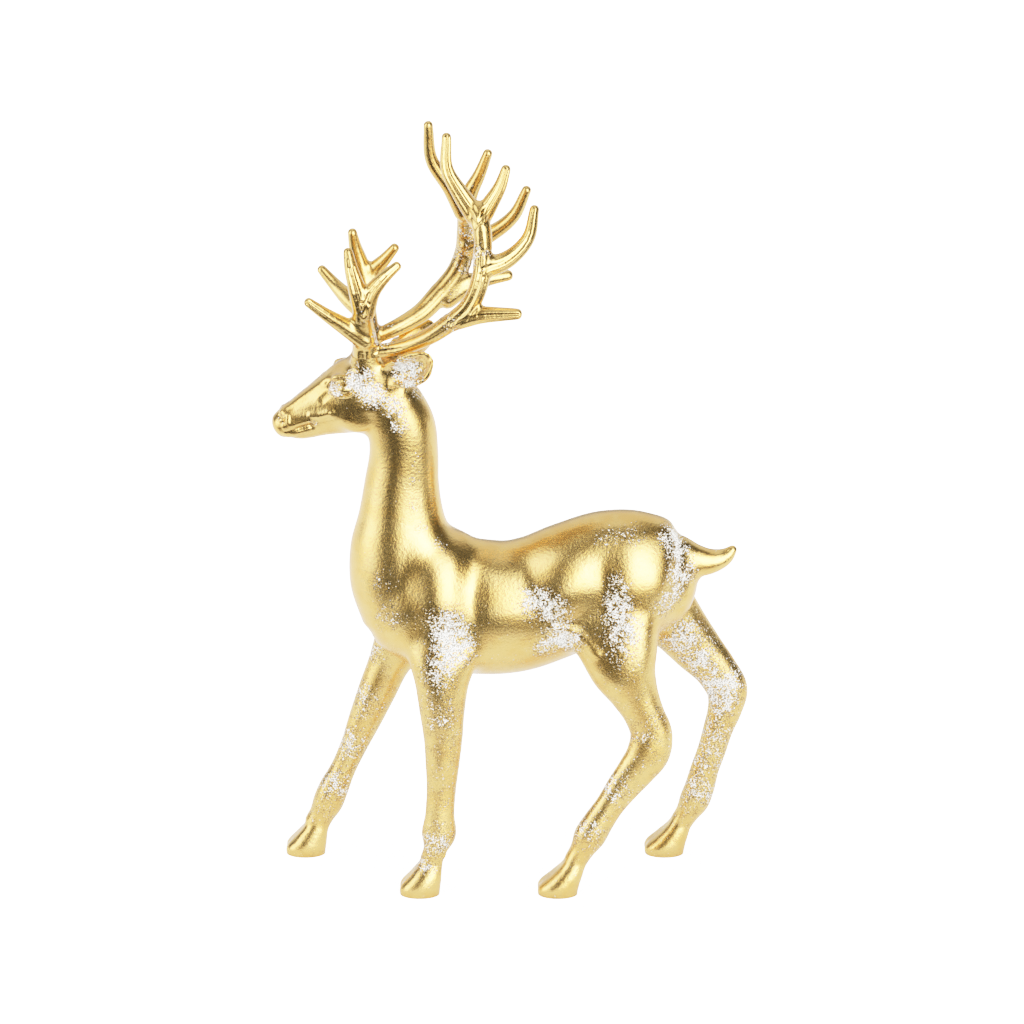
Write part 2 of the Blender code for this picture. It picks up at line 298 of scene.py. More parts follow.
# %% Melting skins into one casting
def add_skin(whole, skin):
    carrier = bpy.data.meshes.new("skin")
    skin.to_mesh(carrier)
    skin.free()
    whole.from_mesh(carrier)
    bpy.data.meshes.remove(carrier)


def settle(thing):
    graph = bpy.context.evaluated_depsgraph_get()
    mesh = bpy.data.meshes.new_from_object(thing.evaluated_get(graph))
    thing.modifiers.clear()
    thing.data = mesh


def melt(name, whole, grain):
    mesh = bpy.data.meshes.new(name)
    whole.to_mesh(mesh)
    whole.free()
    thing = bpy.data.objects.new(name, mesh)
    bpy.context.collection.objects.link(thing)
    remesh = thing.modifiers.new("melt", "REMESH")
    remesh.mode = "VOXEL"
    remesh.voxel_size = grain
    settle(thing)
    return thing


print("tools ready:", add_skin.__name__, settle.__name__, melt.__name__)

# %% [markdown]
# The rest of the shaping is done as on clay, by pushing points about. This helper keeps the points
# of a mesh as arrays, because a hundred and fifty thousand of them are too many to push one by one.
# Where two limbs meet, clay is rubbed into the corner: each point that lies in a hollow is raised
# towards the middle of its neighbours. Smoothing everything would have thinned the legs as well.

# %% A lump of clay
HOLLOW_PULL = 0.9
RIDGE_PULL = 0.25
SMOOTHING = 0.5
SWELLING_BACK = 0.52
SIDE_FACING = 1.8


class Clay:
    """The points of a mesh as arrays, to be pushed about and put back."""

    def __init__(self, thing):
        self.mesh = thing.data
        self.count = len(self.mesh.vertices)
        flat = np.empty(self.count * 3, np.float32)
        self.mesh.vertices.foreach_get("co", flat)
        self.points = flat.reshape(-1, 3)
        ends = np.empty(len(self.mesh.edges) * 2, np.int32)
        self.mesh.edges.foreach_get("vertices", ends)
        self.ends = ends.reshape(-1, 2)
        degree = np.bincount(ends, minlength=self.count)[:, None]
        self.share = (1.0 / degree).astype(np.float32)
        self.look()

    def look(self):
        """Puts the points back into the mesh and reads which way each one faces."""
        self.mesh.vertices.foreach_set("co", self.points.ravel())
        self.mesh.update()
        flat = np.empty(self.count * 3, np.float32)
        self.mesh.vertex_normals.foreach_get("vector", flat)
        self.outward = flat.reshape(-1, 3)

    def pull(self, field=None):
        """How far each point lies from the middle of its neighbours."""
        field = self.points if field is None else field
        total = np.zeros_like(field)
        one, two = self.ends[:, 0], self.ends[:, 1]
        for axis in range(3):
            total[:, axis] += np.bincount(one, field[two, axis], self.count)
            total[:, axis] += np.bincount(two, field[one, axis], self.count)
        return total * self.share - field

    def fill_corners(self, rounds, first_rounds, where=1.0):
        """Raises what lies in a hollow. The first rounds lower the ridges a little too."""
        for turn in range(rounds):
            pull = self.pull()
            rise = (pull * self.outward).sum(axis=1, keepdims=True)
            lowering = RIDGE_PULL if turn < first_rounds else 0.0
            self.points += pull * np.where(rise > 0.0, HOLLOW_PULL, lowering) * where
            if turn % 3 == 2:
                self.look()
        self.look()

    def smooth(self, rounds, where=1.0):
        """Evens out ripples, and swells back by as much as it shrinks."""
        for _ in range(rounds):
            self.points += self.pull() * (SMOOTHING * where)
            self.points -= self.pull() * (SWELLING_BACK * where)
        self.look()

    def even_out(self, rounds, where):
        """Takes out short waves. What the averaging shrinks is averaged too, and put back."""
        soft = self.points.copy()
        for _ in range(rounds):
            soft += self.pull(soft)
        lost = self.points - soft
        for _ in range(rounds):
            lost += self.pull(lost)
        self.points += (soft + lost - self.points) * where
        self.look()

    def patch(self, middle, size):
        """From 1 in the middle of a soft-edged egg to 0 at its skin, on both sides alike."""
        off = self.points.copy()
        off[:, 1] = np.abs(off[:, 1])
        away = ((off - np.array(middle)) / np.array(size)) ** 2
        return np.clip(1.0 - away.sum(axis=1), 0.0, 1.0)[:, None] ** 2

    def swell(self, middle, size, height):
        """Raises a muscle, highest in its middle."""
        self.points += self.outward * (self.patch(middle, size) * height)

    def line(self, path, width, way, deep=None):
        """From 1 on a path seen from the side to 0 at its width, on the side that faces way.

        The width is one number, or one for each point of the path. Points further behind the
        path than deep are left alone.
        """
        path = np.array(path, np.float32)
        path[:, 1] *= way
        widths = np.broadcast_to(np.array(width, np.float32), len(path))
        low = path.min(axis=0) - widths.max()
        high = path.max(axis=0) + widths.max()
        low[1], high[1] = (-900.0, 0.0) if way < 0 else (0.0, 900.0)
        inside = np.nonzero(((self.points >= low) & (self.points <= high)).all(axis=1))[0]
        near = self.points[inside]
        best = np.full(len(inside), 1e9, np.float32)
        beside = np.full(len(inside), 9.0, np.float32)
        behind = np.full(len(inside), 1e3, np.float32)
        for i in range(len(path) - 1):
            run = path[i + 1] - path[i]
            share = np.clip((near - path[i]) @ run / (run @ run), 0.0, 1.0)
            off = near - path[i] - share[:, None] * run
            far = (off ** 2).sum(axis=1)
            closer = far < best
            best[closer] = far[closer]
            reach = widths[i] + (widths[i + 1] - widths[i]) * share
            beside[closer] = (np.hypot(off[:, 0], off[:, 2]) / reach)[closer]
            behind[closer] = np.abs(off[closer, 1])
        weight = np.clip(1.0 - beside ** 2, 0.0, 1.0) ** 2
        weight *= np.clip(self.outward[inside, 1] * way * SIDE_FACING, 0.0, 1.0)
        if deep:
            weight *= behind < deep
        result = np.zeros((self.count, 1), np.float32)
        result[inside, 0] = weight
        return result

    def stroke(self, path, width, height):
        """A ridge along a path, or a groove where the height is below 0."""
        for way in (-1, 1):
            self.points += self.outward * (self.line(path, width, way) * height)


print("a lump of clay can", ", ".join(name for name in vars(Clay) if name[0] != "_"))

# %% [markdown]
# The hooves are cloven: two toes side by side, wider at the sole than at the coronet, with two
# small dewclaws above the heel. Each ear is a cup. Its first ring has its upper half pushed
# through to the other side, so that the extrusion is a shell with a hollow face and a round rim.

# %% Hooves, ears and the bones of the face
SOLE_DEPTH = 6.0
TOE_SPREAD = 7.0
CORONET_SPREAD = 5.0
CLAW_SPREAD = 7.0
EAR_RIM = 0.35
EAR_RIM_END = 0.6
EAR_HOLLOW = 0.50
HOLLOW_EDGE = 0.82
HOLLOW_SLOPE = 0.55
SEAT_MARGIN = 6.0
HOOVES = (
    (-118, -57, -104, -56),
    (-270, 57, -255, 56),
    (59, -57, 79, -57),
    (200, 57, 219, 56),
)
EAR = (
    (-158, -27, 687, 8, 10),
    (-145, -38, 697, 11, 17),
    (-128, -50, 706, 13, 21),
    (-111, -60, 718, 12, 19),
    (-102, -65, 728, 7, 11),
)
FACE = (
    (-203, -31, 677, 10, 6, 7),
    (-204, -27, 689, 18, 8, 7),
    (-190, -22, 640, 30, 15, 24),
    (-279, -11, 628, 7, 7, 8),
)


def add_hoof(whole, sole_x, sole_y, top_x, top_y):
    for way in (-1.0, 1.0):
        toe = (
            (sole_x, sole_y + TOE_SPREAD * way, -SOLE_DEPTH, 24.5, 14.5),
            (sole_x, sole_y + TOE_SPREAD * way, 8, 26.5, 16),
            ((sole_x + top_x) / 2, sole_y + TOE_SPREAD * way, 24, 21, 13),
            (top_x, top_y + CORONET_SPREAD * way, 40, 15.5, 10),
            (top_x + 4.0, top_y + 4.0 * way, 50, 13, 8),
        )
        add_skin(whole, limb(toe, along=(0, 0, 1), step=4.0, round_ends=False))
        claw = (
            (top_x + 12, top_y + CLAW_SPREAD * way, 64, 6, 5),
            (top_x + 17, top_y + (CLAW_SPREAD + 0.5) * way, 53, 4, 4),
        )
        add_skin(whole, limb(claw, step=3.0))


def ear_section(point):
    """Presses the front half of a circle into a hollow between two round rims."""
    if point.y <= 0.0:
        return point
    rim = EAR_RIM * (1.0 - (1.0 - min(1.0, point.y / EAR_RIM_END)) ** 2)
    inside = min(1.0, max(0.0, (HOLLOW_EDGE - abs(point.x)) / HOLLOW_SLOPE))
    hollow = (EAR_HOLLOW + EAR_RIM) * inside * inside * (3.0 - 2.0 * inside)
    return Vector((point.x, rim - hollow, point.z))


def add_head_parts(whole, way):
    ear = [(x, y * way, z, deep, wide) for x, y, z, deep, wide in EAR]
    add_skin(whole, limb(ear, (0.45 * way, -0.2, -0.9 * way), step=3.0, press=ear_section))
    pedicle = (
        (-171, -18 * way, 684, 24, 16),
        (-177, -20 * way, 702, 20, 15),
        (-179, -22 * way, SEAT_LEVEL + SEAT_MARGIN, 18, 14),
    )
    add_skin(whole, limb(pedicle, step=3.0))
    for x, y, z, long, wide, high in FACE:
        place = Matrix.LocRotScale(Vector((x, y * way, z)), None, Vector((long, wide, high)))
        bmesh.ops.create_uvsphere(whole, u_segments=24, v_segments=16, radius=1.0, matrix=place)


print(len(HOOVES), "hooves, an ear of", len(EAR), "rows and", len(FACE), "bones on each side")

# %% [markdown]
# Now the whole casting is melted at a grain of one millimetre, about the size of the finest fold
# that the real mould would have kept. The corners at the legs and the throat are rubbed full, but
# a mask keeps the clay out of the ears, whose hollows would have been filled as well.

# %% The body before carving
BODY_GRAIN = 1.0 * MILLIMETRE
CORNER_ROUNDS = 80
LIMBS = (TRUNK, NECK, HEAD, TAIL, LEFT_FORELEG, RIGHT_FORELEG, LEFT_HINDLEG, RIGHT_HINDLEG)

whole = bmesh.new()
for rows in LIMBS:
    add_skin(whole, limb(rows, step=4.0))
for places in HOOVES:
    add_hoof(whole, *places)
for way in (1.0, -1.0):
    add_head_parts(whole, way)
body = melt("gilded_body", whole, BODY_GRAIN)
clay = Clay(body)
ears = np.minimum(1.0, 2.5 * clay.patch((-126, 54, 708), (42, 34, 42)))
clay.fill_corners(CORNER_ROUNDS, 8, 1.0 - ears)
print("body:", len(body.data.polygons), "faces")

# %% [markdown]
# A stag's side isn't a tube. The shoulder, the ribs and the haunch each stand out, with shallow
# valleys between them, and on gold those valleys show at once, because they bend the reflections.
# First the places where limbs meet are worn smooth, then each muscle is swelled from its middle.

# %% The muscles
EVEN_ROUNDS = 60
MASSES = {
    "shoulder": ((-90, 54, 440), (48, 60, 80), 6.5),
    "upper arm": ((-86, 56, 380), (44, 60, 60), 4.0),
    "ribs": ((-10, 60, 402), (44, 60, 68), 4.0),
    "hip": ((64, 60, 432), (54, 60, 64), 6.5),
    "haunch": ((157, 54, 425), (50, 60, 85), 7.0),
    "thigh": ((154, 58, 350), (40, 40, 55), 3.5),
}
FOLD = (((54, 56, 368), (72, 56, 365), (88, 56, 355), (104, 56, 338)), 11, 2.2)
VALLEYS = (
    (((-48, 58, 462), (-51, 58, 425), (-53, 58, 390), (-56, 58, 352)), 26, -1.5),
    (((104, 58, 430), (103, 58, 395), (98, 56, 365)), 28, -1.2),
)

joints = np.maximum(
    clay.patch((-115, 40, 430), (85, 90, 170)),
    clay.patch((140, 40, 400), (105, 90, 120)),
)
clay.even_out(EVEN_ROUNDS, np.minimum(1.0, 2.0 * joints))
for middle, size, height in MASSES.values():
    clay.swell(middle, size, height)
clay.look()
for path, width, depth in (*VALLEYS, FOLD):
    clay.stroke(path, width, depth)
clay.smooth(8)
print("muscles:", ", ".join(MASSES))

# %% [markdown]
# The face needs a finer surface than the flanks. So the faces of the head are cut into four, and
# then carved with strokes. A stroke is a line seen from the side with a width and a height: a lid
# or a lip is a ridge, the mouth and the tear duct are grooves, and both sides get the same.

# %% Carving the face
FACE_STROKES = {
    "cheek line": (((-270, 15, 632), (-252, 20, 637), (-236, 22, 641), (-222, 26, 645)), 10.0, 1.3),
    "cheek crest": (((-247, 22, 641), (-237, 24, 641), (-226, 27, 645)), 5.5, 1.3),
    "jaw": (((-250, 18, 620), (-225, 22, 620), (-198, 26, 625), (-178, 30, 632)), 20.0, -1.6),
    "muzzle top": (((-284, 9, 641), (-262, 13, 659), (-238, 17, 677)), 7.0, 1.1),
    "brow": (((-232, 20, 683), (-222, 25, 692), (-210, 29, 695), (-196, 31, 689)), 7.0, 1.6),
    "tear duct": (((-219, 27, 674), (-226, 24, 667), (-232, 22, 661)), 6.0, -1.0),
    "mouth": (((-288, 6, 615), (-278, 14, 617), (-262, 19, 622), (-247, 21, 626)), 3.6, -2.0),
    "mouth corner": (((-248, 21, 626), (-245, 21, 624)), 4.8, -1.2),
    "upper lip": (((-280, 13, 624), (-264, 18, 629), (-250, 20, 633)), 5.0, 1.2),
    "lower lip": (((-276, 12, 610), (-263, 17, 615), (-251, 19, 618)), 5.0, 1.0),
    "nostril wing": (((-283, 12, 642), (-276, 15, 638), (-276, 15, 630)), 4.6, 1.4),
    "nostril": (((-285, 11, 636), (-283, 13, 632)), 4.4, -2.6),
}
EYE = (-206.0, 30.0, 677.0)
EYE_LONG = 11.0
EYE_HIGH = 6.5
EYE_LEAN = math.radians(8.0)
EYEBALL = 1.5
LID_EDGE = (-1.0, 1.05, 0.16)
LID = (1.9, 1.42, 0.26)
LID_CREASE = (-1.1, 2.0, 0.26)


def ring_wave(ring, height, middle, soft):
    return height * np.exp(-(((ring - middle) / soft) ** 2))


def eye_relief(points):
    """An eyeball between two lids, with a crease above the upper one."""
    x, z = points[:, 0] - EYE[0], points[:, 2] - EYE[2]
    along = (x * math.cos(EYE_LEAN) + z * math.sin(EYE_LEAN)) / EYE_LONG
    up = (z * math.cos(EYE_LEAN) - x * math.sin(EYE_LEAN)) / EYE_HIGH
    ring = np.hypot(along, up)
    relief = EYEBALL * np.clip(1.0 - ring ** 2, 0.0, 1.0)
    relief += ring_wave(ring, *LID_EDGE)
    relief += ring_wave(ring, *LID)
    relief += ring_wave(ring, *LID_CREASE) * np.clip(up, 0.0, 1.0)
    return np.where(np.abs(points[:, 1]) > 10.0, relief, 0.0)[:, None]


def refine(thing, inside):
    """Cuts the faces of one region into four."""
    bm = bmesh.new()
    bm.from_mesh(thing.data)
    edges = [line for line in bm.edges if inside(line.verts[0].co) and inside(line.verts[1].co)]
    bmesh.ops.subdivide_edges(bm, edges=edges, cuts=1, use_grid_fill=True)
    bm.to_mesh(thing.data)
    bm.free()


def on_head(place):
    return place.z > 598.0 and place.x < -164.0


def near_eye(place):
    return abs(place.x - EYE[0]) < 26.0 and abs(place.z - EYE[2]) < 20.0


SEAT_BACK = -140.0

refine(body, on_head)
refine(body, near_eye)
clay = Clay(body)
zone = np.minimum(1.0, 4.0 * clay.patch((-225, 0, 650), (110, 120, 110)))
ears = np.minimum(1.0, 4.0 * clay.patch((-130, 50, 706), (46, 40, 48)))
clay.smooth(8, zone)
clay.smooth(16, ears)
for path, width, height in FACE_STROKES.values():
    clay.stroke(path, width, height)
    clay.look()
clay.points += clay.outward * eye_relief(clay.points)
clay.smooth(2, zone)
above_seat = (clay.points[:, 0] < SEAT_BACK) & (clay.points[:, 2] > SEAT_LEVEL)
clay.points[above_seat, 2] = SEAT_LEVEL
print("strokes:", ", ".join(FACE_STROKES))

# %% [markdown]
# So fine a surface is only needed where the form turns quickly. A collapse decimation thins the
# flanks and leaves the head, the ears and the hooves alone, which a vertex group protects.

# %% Thinning the flanks
BODY_TRIANGLES = 190000
HEAD_BOTTOM = 600.0
HEAD_BACK = -90.0
HOOF_TOP = 62.0


def thin_out(thing, triangles, keep):
    """Thins the mesh to a number of triangles, and leaves the points in keep alone."""
    have = sum(len(face.vertices) - 2 for face in thing.data.polygons)
    group = thing.vertex_groups.new(name="keep")
    group.add(np.nonzero(keep)[0].tolist(), 1.0, "REPLACE")
    thinned = thing.modifiers.new("thinned", "DECIMATE")
    thinned.ratio = min(1.0, triangles / have)
    thinned.use_collapse_triangulate = True
    thinned.vertex_group = "keep"
    thinned.invert_vertex_group = True
    settle(thing)
    thing.vertex_groups.clear()
    print(thing.name, "had", have, "triangles and has", len(thing.data.polygons))


head = (clay.points[:, 2] > HEAD_BOTTOM) & (clay.points[:, 0] < HEAD_BACK)
clay.look()
thin_out(body, BODY_TRIANGLES, head | (clay.points[:, 2] < HOOF_TOP))

# %% [markdown]
# Shaping is over, so the skin is scaled from thousandths of the height to metres and moved over
# the middle of its footprint. Cutting the soles flat lets all four hooves touch the table, as a
# figurine's do after its base has been sanded.

# %% Scaling to metres
def to_metres(thing):
    size = Matrix.Scale(UNIT, 4)
    thing.data.transform(Matrix.Translation(-MIDDLE) @ size)
    for face in thing.data.polygons:
        face.use_smooth = True


def cut_flat(thing, level):
    """Cuts away what lies below a level and closes the cut."""
    bm = bmesh.new()
    bm.from_mesh(thing.data)
    cut = bmesh.ops.bisect_plane(
        bm,
        geom=bm.verts[:] + bm.edges[:] + bm.faces[:],
        plane_co=(0, 0, level),
        plane_no=(0, 0, 1),
        clear_inner=True,
        clear_outer=False,
    )
    edges = [item for item in cut["geom_cut"] if isinstance(item, bmesh.types.BMEdge)]
    bmesh.ops.edgenet_fill(bm, edges=edges)
    bmesh.ops.recalc_face_normals(bm, faces=bm.faces)
    bm.to_mesh(thing.data)
    bm.free()


cut_flat(body, 0.0)
print("after the cut the body has", len(body.data.polygons), "faces")

# %% [markdown]
# The antlers branch like twigs, each branch a limb of its own that tapers to a rounded tip. A
# shallow groove runs along both faces of each branch, as blood vessels leave it on real antler.

# %% The antlers
ANTLER_GRAIN = 0.42 * MILLIMETRE
LEFT_BRANCHES = (
    ((-178, -22, 700), (-179, -28, 739), (-181, -43, 775), (-178, -50, 796), 17, 11),
    ((-178, -34, 742), (-202, -44, 762), (-222, -54, 779), (-245, -62, 799), 14, 6),
    ((-180, -44, 784), (-188, -50, 817), (-194, -47, 840), (-197, -41, 856), 13, 6),
    ((-178, -46, 780), (-168, -47, 808), (-154, -44, 824), (-138, -38, 837), 13, 6),
    ((-175, -24, 722), (-134, -34, 732), (-99, -50, 752), (-73, -62, 774), 8, 12),
    ((-73, -63, 773), (-52, -68, 795), (-37, -68, 833), (-35, -60, 866), 12, 11),
    ((-34, -60, 866), (-36, -52, 888), (-40, -44, 902), (-42, -38, 908), 11, 12),
    ((-66, -65, 778), (-38, -72, 786), (-14, -75, 788), (7, -77, 789), 13, 7),
    ((-36, -62, 842), (-8, -58, 850), (19, -50, 875), (27, -39, 909), 14, 6),
    ((-40, -40, 892), (-26, -38, 915), (-14, -35, 936), (-7, -33, 957), 13, 6),
    ((-41, -38, 896), (-62, -34, 927), (-77, -30, 954), (-78, -27, 995), 13, 6),
)
RIGHT_BRANCHES = (
    ((-178, 22, 700), (-179, 28, 739), (-182, 42, 773), (-180, 50, 798), 17, 11),
    ((-179, 36, 752), (-202, 46, 768), (-218, 55, 782), (-235, 62, 800), 14, 6),
    ((-180, 45, 788), (-187, 46, 816), (-192, 43, 836), (-195, 39, 855), 13, 6),
    ((-178, 46, 784), (-168, 46, 805), (-156, 42, 819), (-143, 37, 836), 13, 6),
    ((-175, 24, 722), (-138, 34, 736), (-112, 48, 748), (-87, 61, 771), 9, 14),
    ((-87, 61, 770), (-68, 66, 795), (-58, 66, 823), (-56, 60, 851), 14, 12),
    ((-56, 60, 851), (-56, 50, 875), (-58, 42, 891), (-60, 38, 900), 12, 11),
    ((-82, 64, 762), (-50, 70, 780), (-28, 74, 784), (-4, 77, 787), 15, 7),
    ((-56, 62, 832), (-33, 58, 843), (2, 48, 873), (18, 39, 909), 14, 6),
    ((-59, 42, 880), (-51, 40, 905), (-40, 36, 928), (-29, 33, 957), 13, 6),
    ((-58, 40, 880), (-74, 36, 911), (-97, 32, 948), (-101, 27, 994), 13, 6),
)
ANTLER_ROUNDS = 150
BRANCH_SIDE = (0.25, 1.0, 0.1)
BRANCH_TAPER = (0.0, 0.36, 0.7, 1.0)
GROOVES = ((0.20, 0.42, 0.24), (-0.50, 0.34, 0.12))


def branch_rows(first, second, third, last, thick, thin):
    rows = []
    for share, point in zip(BRANCH_TAPER, (first, second, third, last)):
        radius = thin + (thick - thin) * (1.0 - share)
        rows.append((*point, radius, radius))
    return rows


def groove_depth(clay, branches, way):
    """How deep the grooves press each point, the deepest where two of them meet."""
    depth = np.zeros((clay.count, 1), np.float32)
    for row in branches:
        line = smooth_rows(branch_rows(*row), 9.0)
        ways = np.gradient(line[:, :3], axis=0)
        ways /= np.linalg.norm(ways, axis=1, keepdims=True)
        for aside, width, deep in GROOVES:
            across = np.stack((-ways[:, 2], 0 * ways[:, 1], ways[:, 0]), 1)
            path = line[:, :3] + across * line[:, 3:4] * aside
            path[:, 1] = np.abs(path[:, 1])
            press = clay.line(path, line[:, 3] * width, way, 1.6 * line[:, 3].max())
            depth = np.maximum(depth, press * deep * line[:, 3].mean())
    return depth


def antler(name, branches, way):
    whole = bmesh.new()
    for row in branches:
        add_skin(whole, limb(branch_rows(*row), BRANCH_SIDE, step=3.0))
    thing = melt(name, whole, ANTLER_GRAIN)
    clay = Clay(thing)
    clay.fill_corners(ANTLER_ROUNDS, 16)
    clay.smooth(4)
    clay.points -= clay.outward * groove_depth(clay, branches, way)
    clay.look()
    clay.smooth(2)
    cut_flat(thing, SEAT_LEVEL + SEAM_GAP)
    print(name, len(thing.data.polygons), "faces")
    return thing


left_antler = antler("gilded_left_antler", LEFT_BRANCHES, -1)
right_antler = antler("gilded_right_antler", RIGHT_BRANCHES, 1)

# %% [markdown]
# Where fingers and packing rubbed, the leaf has gone and the white resin shows. Each worn place is
# a spot with a middle, a reach and a strength, kept on the mesh as one number a point. The exact
# edge between gold and white comes later, from noise in the material, finer than any mesh.

# %% Where the leaf is worn
RUBS = (
    # the ear
    (-127, -52, 705, 24, 0.95),
    (-141, -44, 700, 13, 0.8),
    # the side of the neck
    (-114, -34, 588, 13, 0.35),
    (-121, -34, 556, 13, 0.35),
    (-119, -38, 522, 14, 0.4),
    (-111, -40, 496, 14, 0.4),
    # the brow, the eye and the throat
    (-185, -35, 690, 22, 0.9),
    (-168, -34, 668, 20, 0.75),
    (-217, -30, 676, 13, 0.8),
    (-143, -33, 655, 18, 0.75),
    (-138, -33, 628, 15, 0.6),
    (-160, -26, 745, 20, 0.8),
    # the withers
    (-87, -40, 475, 14, 0.5),
    (-67, -50, 463, 12, 0.45),
    (-42, -50, 453, 12, 0.45),
    (-15, -50, 461, 12, 0.4),
    # the elbow and the chest
    (-82, -58, 378, 30, 0.7),
    (-75, -60, 345, 30, 0.95),
    (-92, -58, 318, 22, 0.7),
    (-160, -30, 425, 24, 0.45),
    (-150, -40, 382, 24, 0.45),
    # the flank
    (28, -58, 405, 28, 0.55),
    (50, -58, 396, 24, 0.75),
    (65, -52, 354, 26, 0.95),
    (42, -50, 340, 18, 0.6),
    # the haunch and the rump
    (132, -56, 432, 18, 0.6),
    (133, -56, 402, 22, 0.75),
    (138, -55, 368, 28, 0.8),
    (140, -55, 335, 26, 0.6),
    (200, -20, 470, 25, 0.9),
    (206, -25, 432, 27, 0.8),
    (190, -40, 400, 24, 0.6),
    # the legs
    (165, -58, 222, 13, 0.7),
    (176, -55, 250, 14, 0.55),
    (215, 40, 322, 30, 1.0),
    (240, 44, 290, 26, 1.0),
    (268, 44, 250, 27, 1.0),
    (270, 44, 222, 20, 0.9),
    (262, 50, 180, 24, 0.55),
    (252, 50, 140, 24, 0.5),
    (242, 50, 95, 24, 0.55),
    (-90, -60, 300, 22, 0.5),
    (-88, -60, 255, 24, 0.35),
    (-97, -66, 75, 18, 0.6),
    (-172, 46, 300, 24, 0.5),
    (-190, 46, 230, 22, 0.45),
    (-210, 48, 165, 24, 0.5),
    (-230, 50, 105, 24, 0.55),
    (-110, -64, 42, 16, 0.5),
    (130, -60, 150, 20, 0.5),
    (98, -60, 92, 20, 0.45),
    # the nape, the back, the nostril and the mouth
    (-112, -15, 668, 16, 0.55),
    (118, -40, 486, 20, 0.4),
    (150, -36, 486, 20, 0.4),
    (-282, -12, 630, 12, 0.35),
    (-244, -22, 630, 9, 0.4),
    # the forks of the antlers
    (-40, -62, 860, 22, 0.4),
    (-70, -64, 778, 16, 0.5),
    (-180, -44, 780, 18, 0.4),
    (-84, 62, 768, 20, 0.5),
    (-60, 64, 812, 24, 0.5),
    (-56, 58, 850, 24, 0.5),
    (-36, 70, 782, 16, 0.4),
)
FAR_SHARE = 0.5
RUB_EDGE = 1.2
LEG_WEAR_LEVELS = (0.0, 12.0, 60.0, 240.0, 330.0, 480.0, 700.0, 1000.0)
LEG_WEAR = (0.25, 0.12, 0.30, 0.28, 0.16, 0.06, 0.03, 0.10)


def paint_rubs(thing):
    """What all the rubs together took from each point, kept as the attribute rub."""
    flat = np.empty(len(thing.data.vertices) * 3, np.float32)
    thing.data.vertices.foreach_get("co", flat)
    points = flat.reshape(-1, 3)
    left = np.ones(len(points), np.float32)
    for x, y, z, reach, strength in RUBS:
        for side, share in ((1.0, 1.0), (-1.0, FAR_SHARE)):
            off = points - np.array((x, y * side, z), np.float32)
            away = (off ** 2).sum(axis=1) / reach ** 2
            left *= 1.0 - strength * share * np.exp(-RUB_EDGE * away ** 1.5)
    left *= 1.0 - np.interp(points[:, 2], LEG_WEAR_LEVELS, LEG_WEAR)
    layer = thing.data.attributes.new("rub", "FLOAT", "POINT")
    layer.data.foreach_set("value", 1.0 - left)
    print(thing.name, "is rubbed on", round(100.0 * float((left < 0.6).mean())), "% of its points")


for thing in (body, left_antler, right_antler):
    paint_rubs(thing)
    to_metres(thing)

# %% [markdown]
# Gold leaf lies on resin in a skin of fine wrinkles, and where it is rubbed the resin breaks through
# as grains, first a few and then many. One group makes the pattern for all three castings: from
# the rub value and noise it gives the mask of bare resin, a mask of dark gaps and a grain height.

# %% The worn leaf as a node group
PATCH_SCALE = 230.0
GRAIN_SCALE = 950.0
GAP_SCALE = 1450.0
WRINKLE_SCALE = 700.0
TONE_SCALE = 90.0
BARE_EDGE = (1.49, 1.58)
GAP_EDGE = (0.52, 0.58)


def new_group(name, inputs, outputs):
    group = bpy.data.node_groups.new(name, "ShaderNodeTree")
    for label, kind, value in inputs:
        socket = group.interface.new_socket(name=label, in_out="INPUT", socket_type=kind)
        if value is not None:
            socket.default_value = value
    for label, kind in outputs:
        group.interface.new_socket(name=label, in_out="OUTPUT", socket_type=kind)
    return group, group.nodes.new("NodeGroupInput"), group.nodes.new("NodeGroupOutput")


def math_node(tree, operation, *values):
    node = tree.nodes.new("ShaderNodeMath")
    node.operation = operation
    for socket, value in zip(node.inputs, values):
        if isinstance(value, (int, float)):
            socket.default_value = value
        else:
            tree.links.new(value, socket)
    return node.outputs["Value"]


def edge(tree, value, low, high, start=0.0, end=1.0):
    node = tree.nodes.new("ShaderNodeMapRange")
    node.interpolation_type = "SMOOTHSTEP"
    tree.links.new(value, node.inputs["Value"])
    for socket, number in zip(node.inputs[1:5], (low, high, start, end)):
        socket.default_value = number
    return node.outputs["Result"]


def grain(tree, place, scale, detail=2.0, roughness=0.55):
    node = tree.nodes.new("ShaderNodeTexNoise")
    node.inputs["Scale"].default_value = scale
    node.inputs["Detail"].default_value = detail
    node.inputs["Roughness"].default_value = roughness
    tree.links.new(place, node.inputs["Vector"])
    return node.outputs["Fac"]


worn, given, result = new_group(
    "worn_leaf",
    (("Place", "NodeSocketVector", None), ("Rub", "NodeSocketFloat", 0.0)),
    [(name, "NodeSocketFloat") for name in ("Bare", "Dark", "Height", "Tone")],
)
place, rub = given.outputs[:2]
patchy = math_node(worn, "MULTIPLY_ADD", grain(worn, place, PATCH_SCALE), 1.6, -0.05)
spread = math_node(worn, "MULTIPLY", rub, patchy)
fine = grain(worn, place, GRAIN_SCALE, 3.0, 0.65)
level = math_node(worn, "MULTIPLY_ADD", fine, 2.0, spread)
bare = edge(worn, level, *BARE_EDGE)
gaps = grain(worn, place, GAP_SCALE, 1.0)
dark = edge(worn, math_node(worn, "MULTIPLY_ADD", spread, 0.03, gaps), *GAP_EDGE)
dark = math_node(worn, "MULTIPLY", dark, edge(worn, spread, 0.10, 0.35, 0.0, 0.85))
worn.links.new(bare, result.inputs["Bare"])
worn.links.new(dark, result.inputs["Dark"])
wrinkles = grain(worn, place, WRINKLE_SCALE, 3.0, 0.6)
flatter = math_node(worn, "MULTIPLY_ADD", bare, -0.75, 1.0)
